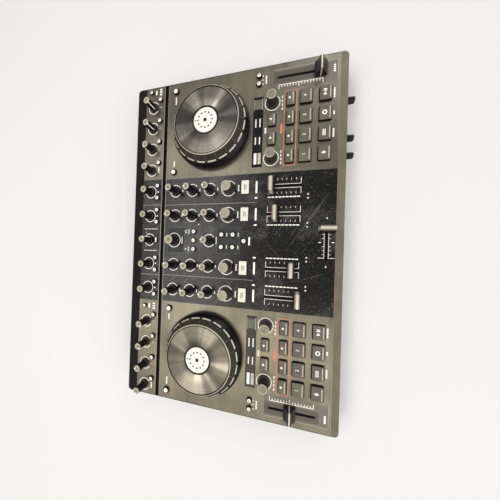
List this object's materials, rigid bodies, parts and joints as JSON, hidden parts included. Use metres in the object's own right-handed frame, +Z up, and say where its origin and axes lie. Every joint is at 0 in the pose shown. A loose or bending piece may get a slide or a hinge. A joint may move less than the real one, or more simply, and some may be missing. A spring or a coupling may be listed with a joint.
{
  "type": "dj controller",
  "caption": "Two-deck, four-channel DJ mixing controller with jog wheels, faders, turning knobs and sprung keys in a flat case.",
  "frame": {"origin": "bottom centre of the overall box, on the surface that the rubber feet stand on", "axes": "+X to the player's right, +Y away from the player to the rear sockets, +Z up"},
  "size_m": [0.5, 0.346, 0.051],
  "materials": {
    "case_black": "fine moulded texture",
    "deck_metal": "brushed, warm grey",
    "mixer_gloss": "gloss black",
    "window": "smoked window",
    "board_green": "solder mask",
    "spindle_steel": "turned",
    "socket_black": "moulded",
    "foot_rubber": "matt",
    "screw_steel": "blackened",
    "knob_black": "satin",
    "fader_silver": "metallic paint",
    "jog_metal": "spun",
    "lit_white": "translucent, lit",
    "key_grey": "satin"
  },
  "bodies": {
    "case": {"bottom_case": "case_black", "top_case": "case_black", "deck_faceplates": "deck_metal", "mixer_faceplates": "mixer_gloss", "display_windows": "window", "control_boards": "board_green", "jog_spindles": "spindle_steel", "sockets": "socket_black", "rubber_feet": "foot_rubber", "case_screws": "screw_steel"},
    "left_effect_knob_1": {"left_effect_knob_1": "knob_black"},
    "left_effect_knob_2": {"left_effect_knob_2": "knob_black"},
    "left_effect_knob_3": {"left_effect_knob_3": "knob_black"},
    "left_effect_knob_4": {"left_effect_knob_4": "knob_black"},
    "right_effect_knob_1": {"right_effect_knob_1": "knob_black"},
    "right_effect_knob_2": {"right_effect_knob_2": "knob_black"},
    "right_effect_knob_3": {"right_effect_knob_3": "knob_black"},
    "right_effect_knob_4": {"right_effect_knob_4": "knob_black"},
    "gain_knob_1": {"gain_knob_1": "knob_black"},
    "gain_knob_2": {"gain_knob_2": "knob_black"},
    "gain_knob_3": {"gain_knob_3": "knob_black"},
    "gain_knob_4": {"gain_knob_4": "knob_black"},
    "main_level_knob": {"main_level_knob": "knob_black"},
    "low_knob_1": {"low_knob_1": "knob_black"},
    "low_knob_2": {"low_knob_2": "knob_black"},
    "low_knob_3": {"low_knob_3": "knob_black"},
    "low_knob_4": {"low_knob_4": "knob_black"},
    "mid_knob_1": {"mid_knob_1": "knob_black"},
    "mid_knob_2": {"mid_knob_2": "knob_black"},
    "mid_knob_3": {"mid_knob_3": "knob_black"},
    "mid_knob_4": {"mid_knob_4": "knob_black"},
    "high_knob_1": {"high_knob_1": "knob_black"},
    "high_knob_2": {"high_knob_2": "knob_black"},
    "high_knob_3": {"high_knob_3": "knob_black"},
    "high_knob_4": {"high_knob_4": "knob_black"},
    "filter_knob_1": {"filter_knob_1": "knob_black"},
    "filter_knob_2": {"filter_knob_2": "knob_black"},
    "filter_knob_3": {"filter_knob_3": "knob_black"},
    "filter_knob_4": {"filter_knob_4": "knob_black"},
    "blend_knob": {"blend_knob": "knob_black"},
    "browse_knob": {"browse_knob": "knob_black"},
    "left_loop_move_knob": {"left_loop_move_knob": "knob_black"},
    "left_loop_size_knob": {"left_loop_size_knob": "knob_black"},
    "right_loop_move_knob": {"right_loop_move_knob": "knob_black"},
    "right_loop_size_knob": {"right_loop_size_knob": "knob_black"},
    "phones_mix_knob": {"phones_mix_knob": "knob_black"},
    "phones_level_knob": {"phones_level_knob": "knob_black"},
    "microphone_level_knob": {"microphone_level_knob": "knob_black"},
    "channel_fader_cap_1": {"channel_fader_cap_1": "fader_silver"},
    "channel_fader_cap_2": {"channel_fader_cap_2": "fader_silver"},
    "channel_fader_cap_3": {"channel_fader_cap_3": "fader_silver"},
    "channel_fader_cap_4": {"channel_fader_cap_4": "fader_silver"},
    "crossfader_cap": {"crossfader_cap": "fader_silver"},
    "left_tempo_fader_cap": {"left_tempo_fader_cap": "knob_black"},
    "right_tempo_fader_cap": {"right_tempo_fader_cap": "knob_black"},
    "left_jog_wheel": {"left_jog_wheel": "jog_metal"},
    "right_jog_wheel": {"right_jog_wheel": "jog_metal"},
    "left_deck_buttons": {"left_deck_buttons": "key_grey"},
    "right_deck_buttons": {"right_deck_buttons": "key_grey"},
    "mixer_buttons": {"mixer_buttons": "lit_white"}
  },
  "joints": [
    {"name": "left_effect_knob_1_turn", "type": "hinge", "parent": "case", "child": "left_effect_knob_1", "pos_m": [-0.2347, 0.1326, 0.031], "axis": [0, 0, 1], "range_deg": [-225, 75]},
    {"name": "left_effect_knob_2_turn", "type": "hinge", "parent": "case", "child": "left_effect_knob_2", "pos_m": [-0.2005, 0.1326, 0.031], "axis": [0, 0, 1], "range_deg": [-150, 150]},
    {"name": "left_effect_knob_3_turn", "type": "hinge", "parent": "case", "child": "left_effect_knob_3", "pos_m": [-0.1663, 0.1326, 0.031], "axis": [0, 0, 1], "range_deg": [-285, 15]},
    {"name": "left_effect_knob_4_turn", "type": "hinge", "parent": "case", "child": "left_effect_knob_4", "pos_m": [-0.1321, 0.1326, 0.031], "axis": [0, 0, 1], "range_deg": [-285, 15]},
    {"name": "right_effect_knob_1_turn", "type": "hinge", "parent": "case", "child": "right_effect_knob_1", "pos_m": [0.1133, 0.1326, 0.031], "axis": [0, 0, 1], "range_deg": [-15, 285]},
    {"name": "right_effect_knob_2_turn", "type": "hinge", "parent": "case", "child": "right_effect_knob_2", "pos_m": [0.1475, 0.1326, 0.031], "axis": [0, 0, 1], "range_deg": [-210, 90]},
    {"name": "right_effect_knob_3_turn", "type": "hinge", "parent": "case", "child": "right_effect_knob_3", "pos_m": [0.1817, 0.1326, 0.031], "axis": [0, 0, 1], "range_deg": [-288, 12]},
    {"name": "right_effect_knob_4_turn", "type": "hinge", "parent": "case", "child": "right_effect_knob_4", "pos_m": [0.2159, 0.1326, 0.031], "axis": [0, 0, 1], "range_deg": [-285, 15]},
    {"name": "gain_knob_1_turn", "type": "hinge", "parent": "case", "child": "gain_knob_1", "pos_m": [-0.0774, 0.1326, 0.031], "axis": [0, 0, 1], "continuous": true},
    {"name": "gain_knob_2_turn", "type": "hinge", "parent": "case", "child": "gain_knob_2", "pos_m": [-0.0385, 0.1326, 0.031], "axis": [0, 0, 1], "continuous": true},
    {"name": "gain_knob_3_turn", "type": "hinge", "parent": "case", "child": "gain_knob_3", "pos_m": [0.0385, 0.1326, 0.031], "axis": [0, 0, 1], "continuous": true},
    {"name": "gain_knob_4_turn", "type": "hinge", "parent": "case", "child": "gain_knob_4", "pos_m": [0.0774, 0.1326, 0.031], "axis": [0, 0, 1], "continuous": true},
    {"name": "main_level_knob_turn", "type": "hinge", "parent": "case", "child": "main_level_knob", "pos_m": [0, 0.1326, 0.031], "axis": [0, 0, 1], "range_deg": [-20, 280]},
    {"name": "low_knob_1_turn", "type": "hinge", "parent": "case", "child": "low_knob_1", "pos_m": [-0.0774, 0.0278, 0.031], "axis": [0, 0, 1], "range_deg": [-150, 150]},
    {"name": "low_knob_2_turn", "type": "hinge", "parent": "case", "child": "low_knob_2", "pos_m": [-0.0385, 0.0278, 0.031], "axis": [0, 0, 1], "range_deg": [-129, 171]},
    {"name": "low_knob_3_turn", "type": "hinge", "parent": "case", "child": "low_knob_3", "pos_m": [0.0385, 0.0278, 0.031], "axis": [0, 0, 1], "range_deg": [-188, 112]},
    {"name": "low_knob_4_turn", "type": "hinge", "parent": "case", "child": "low_knob_4", "pos_m": [0.0774, 0.0278, 0.031], "axis": [0, 0, 1], "range_deg": [-140, 160]},
    {"name": "mid_knob_1_turn", "type": "hinge", "parent": "case", "child": "mid_knob_1", "pos_m": [-0.0774, 0.05735, 0.031], "axis": [0, 0, 1], "range_deg": [-95, 205]},
    {"name": "mid_knob_2_turn", "type": "hinge", "parent": "case", "child": "mid_knob_2", "pos_m": [-0.0385, 0.05735, 0.031], "axis": [0, 0, 1], "range_deg": [-85, 215]},
    {"name": "mid_knob_3_turn", "type": "hinge", "parent": "case", "child": "mid_knob_3", "pos_m": [0.0385, 0.05735, 0.031], "axis": [0, 0, 1], "range_deg": [-195, 105]},
    {"name": "mid_knob_4_turn", "type": "hinge", "parent": "case", "child": "mid_knob_4", "pos_m": [0.0774, 0.05735, 0.031], "axis": [0, 0, 1], "range_deg": [-150, 150]},
    {"name": "high_knob_1_turn", "type": "hinge", "parent": "case", "child": "high_knob_1", "pos_m": [-0.0774, 0.0869, 0.031], "axis": [0, 0, 1], "range_deg": [-143, 157]},
    {"name": "high_knob_2_turn", "type": "hinge", "parent": "case", "child": "high_knob_2", "pos_m": [-0.0385, 0.0869, 0.031], "axis": [0, 0, 1], "range_deg": [-113, 187]},
    {"name": "high_knob_3_turn", "type": "hinge", "parent": "case", "child": "high_knob_3", "pos_m": [0.0385, 0.0869, 0.031], "axis": [0, 0, 1], "range_deg": [-170, 130]},
    {"name": "high_knob_4_turn", "type": "hinge", "parent": "case", "child": "high_knob_4", "pos_m": [0.0774, 0.0869, 0.031], "axis": [0, 0, 1], "range_deg": [-207, 93]},
    {"name": "filter_knob_1_turn", "type": "hinge", "parent": "case", "child": "filter_knob_1", "pos_m": [-0.0774, -0.002, 0.031], "axis": [0, 0, 1], "range_deg": [-141, 159]},
    {"name": "filter_knob_2_turn", "type": "hinge", "parent": "case", "child": "filter_knob_2", "pos_m": [-0.0385, -0.002, 0.031], "axis": [0, 0, 1], "range_deg": [-167, 133]},
    {"name": "filter_knob_3_turn", "type": "hinge", "parent": "case", "child": "filter_knob_3", "pos_m": [0.0385, -0.002, 0.031], "axis": [0, 0, 1], "range_deg": [-156, 144]},
    {"name": "filter_knob_4_turn", "type": "hinge", "parent": "case", "child": "filter_knob_4", "pos_m": [0.0774, -0.002, 0.031], "axis": [0, 0, 1], "range_deg": [-182, 118]},
    {"name": "blend_knob_turn", "type": "hinge", "parent": "case", "child": "blend_knob", "pos_m": [0, 0.0273, 0.031], "axis": [0, 0, 1], "range_deg": [-150, 150]},
    {"name": "browse_knob_turn", "type": "hinge", "parent": "case", "child": "browse_knob", "pos_m": [0, 0.0869, 0.031], "axis": [0, 0, 1], "continuous": true},
    {"name": "left_loop_move_knob_turn", "type": "hinge", "parent": "case", "child": "left_loop_move_knob", "pos_m": [-0.1954, -0.063, 0.031], "axis": [0, 0, 1], "continuous": true},
    {"name": "left_loop_size_knob_turn", "type": "hinge", "parent": "case", "child": "left_loop_size_knob", "pos_m": [-0.1173, -0.063, 0.031], "axis": [0, 0, 1], "continuous": true},
    {"name": "right_loop_move_knob_turn", "type": "hinge", "parent": "case", "child": "right_loop_move_knob", "pos_m": [0.1954, -0.063, 0.031], "axis": [0, 0, 1], "continuous": true},
    {"name": "right_loop_size_knob_turn", "type": "hinge", "parent": "case", "child": "right_loop_size_knob", "pos_m": [0.1173, -0.063, 0.031], "axis": [0, 0, 1], "continuous": true},
    {"name": "phones_mix_knob_turn", "type": "hinge", "parent": "case", "child": "phones_mix_knob", "pos_m": [0.12, -0.161, 0.016], "axis": [0, -1, 0], "range_deg": [-150, 150]},
    {"name": "phones_level_knob_turn", "type": "hinge", "parent": "case", "child": "phones_level_knob", "pos_m": [0.144, -0.161, 0.016], "axis": [0, -1, 0], "range_deg": [-150, 150]},
    {"name": "microphone_level_knob_turn", "type": "hinge", "parent": "case", "child": "microphone_level_knob", "pos_m": [0.196, -0.161, 0.016], "axis": [0, -1, 0], "range_deg": [-150, 150]},
    {"name": "channel_fader_1_slide", "type": "slide", "parent": "case", "child": "channel_fader_cap_1", "axis": [0, 1, 0], "range_m": [-0.0013, 0.0437]},
    {"name": "channel_fader_2_slide", "type": "slide", "parent": "case", "child": "channel_fader_cap_2", "axis": [0, 1, 0], "range_m": [-0.0107, 0.0343]},
    {"name": "channel_fader_3_slide", "type": "slide", "parent": "case", "child": "channel_fader_cap_3", "axis": [0, 1, 0], "range_m": [-0.0339, 0.0111]},
    {"name": "channel_fader_4_slide", "type": "slide", "parent": "case", "child": "channel_fader_cap_4", "axis": [0, 1, 0], "range_m": [-0.0401, 0.0049]},
    {"name": "crossfader_slide", "type": "slide", "parent": "case", "child": "crossfader_cap", "axis": [1, 0, 0], "range_m": [-0.0401, 0.0049]},
    {"name": "left_tempo_fader_slide", "type": "slide", "parent": "case", "child": "left_tempo_fader_cap", "axis": [0, 1, 0], "range_m": [-0.032, 0.028]},
    {"name": "right_tempo_fader_slide", "type": "slide", "parent": "case", "child": "right_tempo_fader_cap", "axis": [0, 1, 0], "range_m": [-0.0045, 0.0555]},
    {"name": "left_jog_spin", "type": "hinge", "parent": "case", "child": "left_jog_wheel", "pos_m": [-0.1682, 0.0289, 0.051], "axis": [0, 0, 1], "continuous": true},
    {"name": "right_jog_spin", "type": "hinge", "parent": "case", "child": "right_jog_wheel", "pos_m": [0.1682, 0.0289, 0.051], "axis": [0, 0, 1], "continuous": true},
    {"name": "left_deck_buttons_press", "type": "slide", "parent": "case", "child": "left_deck_buttons", "axis": [0, 0, -1], "range_m": [0, 0.0008], "stiffness_N_per_m": 800, "springref_m": -0.002},
    {"name": "right_deck_buttons_press", "type": "slide", "parent": "case", "child": "right_deck_buttons", "axis": [0, 0, -1], "range_m": [0, 0.0008], "stiffness_N_per_m": 800, "springref_m": -0.002},
    {"name": "mixer_buttons_press", "type": "slide", "parent": "case", "child": "mixer_buttons", "axis": [0, 0, -1], "range_m": [0, 0.0008], "stiffness_N_per_m": 800, "springref_m": -0.002}
  ]
}
